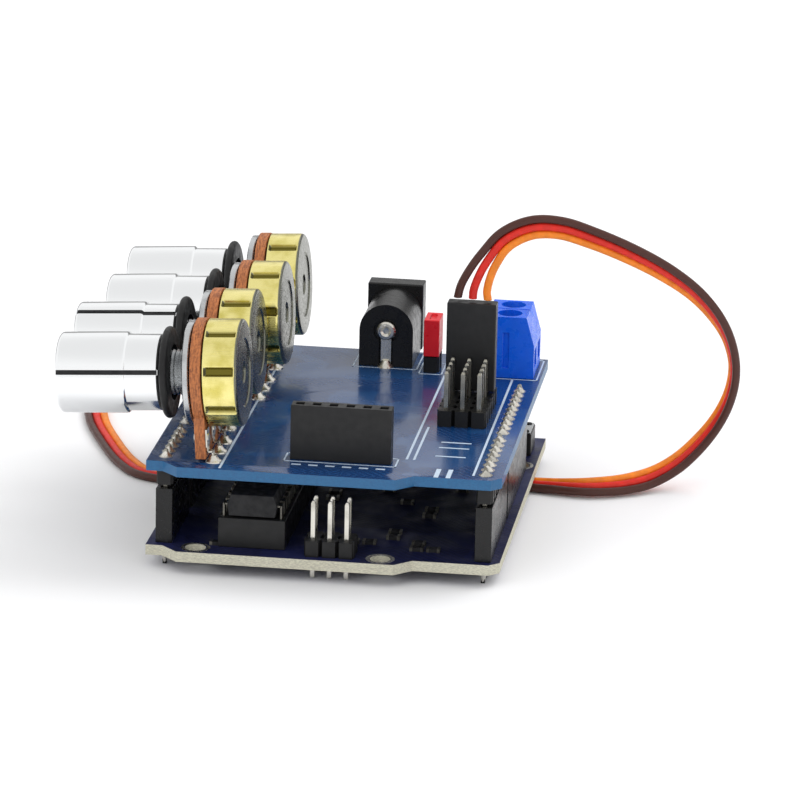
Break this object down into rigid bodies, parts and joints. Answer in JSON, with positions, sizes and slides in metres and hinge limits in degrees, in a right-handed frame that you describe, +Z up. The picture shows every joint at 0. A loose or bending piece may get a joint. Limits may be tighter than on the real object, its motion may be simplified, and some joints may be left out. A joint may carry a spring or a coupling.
{
  "type": "servo control board stack",
  "caption": "Controller board with a blue servo shield on top: a row of chrome-capped knobs on potentiometers, pin headers, terminal, jacks and a flat servo lead.",
  "frame": {"origin": "centre of the footprint of the boards with their knobs and sockets, at the surface that the solder legs stand on", "axes": "+X across the boards from the knobs to the servo pins, +Y along them to the power sockets, +Z up"},
  "size_m": [0.1093, 0.1053, 0.0474],
  "materials": {
    "controller_pcb": "satin dark blue solder mask",
    "shield_pcb": "glossy blue solder mask with white print and tinned pads",
    "black_plastic": "moulded, half gloss",
    "chip_plastic": "matt moulding compound",
    "pin_strip": "black moulding with bright square pins",
    "pin_metal": "bright tin plating",
    "blue_plastic": "moulded, glossy",
    "red_plastic": "moulded, half gloss",
    "white_plastic": "moulded",
    "phenolic": "brown resin paper, sawn edge",
    "passivated_steel": "yellow passivated pressing",
    "steel": "plated pressing",
    "chrome": "mirror plating",
    "can_metal": "drawn can",
    "lead_insulation": "three soft insulated wires side by side: brown, red and orange"
  },
  "bodies": {
    "boards": {"controller_board": "controller_pcb", "shield_board": "shield_pcb", "analog_header": "black_plastic", "analog_pins": "pin_strip", "power_header": "black_plastic", "power_pins": "pin_strip", "digital_front_header": "black_plastic", "digital_front_pins": "pin_strip", "digital_back_header": "black_plastic", "digital_back_pins": "pin_strip", "usb_socket": "steel", "usb_tongue": "white_plastic", "power_jack": "black_plastic", "power_jack_pin": "pin_metal", "programming_header": "pin_strip", "chip_socket": "black_plastic", "controller_chip": "chip_plastic", "clock_crystal": "can_metal", "capacitor_1": "can_metal", "capacitor_2": "can_metal", "reset_switch": "black_plastic", "pot_1_wafer": "phenolic", "pot_1_can": "passivated_steel", "pot_1_bush": "steel", "pot_2_wafer": "phenolic", "pot_2_can": "passivated_steel", "pot_2_bush": "steel", "pot_3_wafer": "phenolic", "pot_3_can": "passivated_steel", "pot_3_bush": "steel", "pot_4_wafer": "phenolic", "pot_4_can": "passivated_steel", "pot_4_bush": "steel", "shield_jack": "black_plastic", "shield_jack_contact": "pin_metal", "jumper_pins": "pin_strip", "side_header": "black_plastic", "servo_pins": "pin_strip", "terminal_block": "blue_plastic", "servo_plug": "black_plastic", "servo_lead": "lead_insulation", "lead_socket": "black_plastic"},
    "knob_1": {"pot_1_shaft": "steel", "knob_1_core": "black_plastic", "knob_1_cap": "chrome"},
    "knob_2": {"pot_2_shaft": "steel", "knob_2_core": "black_plastic", "knob_2_cap": "chrome"},
    "knob_3": {"pot_3_shaft": "steel", "knob_3_core": "black_plastic", "knob_3_cap": "chrome"},
    "knob_4": {"pot_4_shaft": "steel", "knob_4_core": "black_plastic", "knob_4_cap": "chrome"},
    "reset_button": {"reset_button": "black_plastic"},
    "jumper_cap": {"jumper_cap": "red_plastic"},
    "terminal_screw_1": {"terminal_screw_1": "steel"},
    "terminal_screw_2": {"terminal_screw_2": "steel"}
  },
  "joints": [
    {"name": "knob_1_turn", "type": "hinge", "parent": "boards", "child": "knob_1", "pos_m": [-0.01083, -0.02866, 0.02922], "axis": [-0.9983, 0, -0.0576], "range_deg": [-75, 225]},
    {"name": "knob_2_turn", "type": "hinge", "parent": "boards", "child": "knob_2", "pos_m": [-0.01133, -0.01167, 0.02922], "axis": [-0.9983, 0, -0.0576], "range_deg": [-123, 177]},
    {"name": "knob_3_turn", "type": "hinge", "parent": "boards", "child": "knob_3", "pos_m": [-0.00963, 0.00534, 0.02922], "axis": [-0.9983, 0, -0.0576], "range_deg": [-58, 242]},
    {"name": "knob_4_turn", "type": "hinge", "parent": "boards", "child": "knob_4", "pos_m": [-0.00953, 0.02234, 0.02922], "axis": [-0.9983, 0, -0.0576], "range_deg": [-180, 120]},
    {"name": "reset_press", "type": "slide", "parent": "boards", "child": "reset_button", "axis": [0, 0, -1], "range_m": [0, 0.00025], "stiffness_N_per_m": 500, "springref_m": -0.001},
    {"name": "jumper_lift", "type": "slide", "parent": "boards", "child": "jumper_cap", "axis": [0, 0, 1], "range_m": [0, 0.008]},
    {"name": "terminal_screw_1_turn", "type": "hinge", "parent": "boards", "child": "terminal_screw_1", "pos_m": [0.02878, 0.02187, 0.02574], "axis": [0, 0, 1], "range_deg": [-720, 720]},
    {"name": "terminal_screw_2_turn", "type": "hinge", "parent": "boards", "child": "terminal_screw_2", "pos_m": [0.02878, 0.02695, 0.02574], "axis": [0, 0, 1], "range_deg": [-720, 720]}
  ]
}
